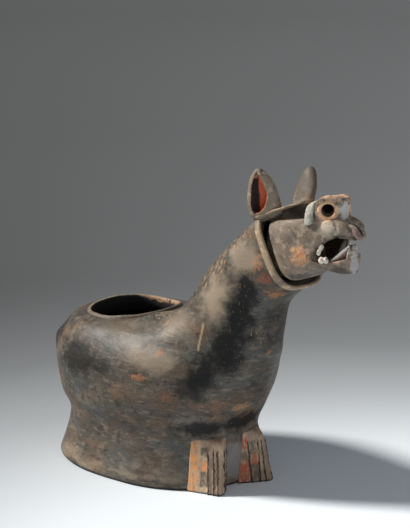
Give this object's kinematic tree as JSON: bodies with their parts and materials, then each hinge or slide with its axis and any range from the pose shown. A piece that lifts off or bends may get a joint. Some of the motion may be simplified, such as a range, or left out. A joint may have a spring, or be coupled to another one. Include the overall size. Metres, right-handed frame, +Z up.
{
  "type": "llama effigy vessel",
  "caption": "Hand-built pottery vessel in the form of a standing llama, with a round mouth in its back, upright ears and a haltered head with open jaws.",
  "frame": {"origin": "in the flat underside of the vessel's floor, on the middle plane of the animal, below the middle of the oval base", "axes": "+X the way the animal faces, +Y its left side, +Z up"},
  "size_m": [0.5095, 0.224, 0.4151],
  "materials": {
    "dark_burnished_slip": "burnished, soft sheen",
    "bare_clay": "matt, unslipped",
    "worn_slip": "worn slip, satin",
    "painted_clay": "painted slip, matt",
    "head_slip": "worn slip, satin",
    "pale_slip": "pale slip, matt",
    "buff_slip": "buff-orange slip, matt",
    "pink_slip": "pinkish slip, matt",
    "tooth_clay": "off-white slip, matt"
  },
  "bodies": {
    "root": {"base_skirt": "dark_burnished_slip", "body_wall": "dark_burnished_slip", "halter_band": "worn_slip", "head_shell": "head_slip", "left_cheek_strap": "worn_slip", "left_ear": "worn_slip", "left_eye_ring": "buff_slip", "left_front_leg": "painted_clay", "left_lower_molar": "tooth_clay", "left_nostril": "pink_slip", "left_upper_fang": "tooth_clay", "lower_incisors": "tooth_clay", "lower_jaw": "head_slip", "mouth_rim": "worn_slip", "neck_wall": "dark_burnished_slip", "nose_band": "pale_slip", "right_cheek_strap": "worn_slip", "right_ear": "worn_slip", "right_eye_ring": "buff_slip", "right_front_leg": "painted_clay", "right_lower_molar": "tooth_clay", "right_nostril": "pink_slip", "right_upper_fang": "tooth_clay", "tongue": "pink_slip", "vessel_floor": "bare_clay"}
  },
  "joints": []
}
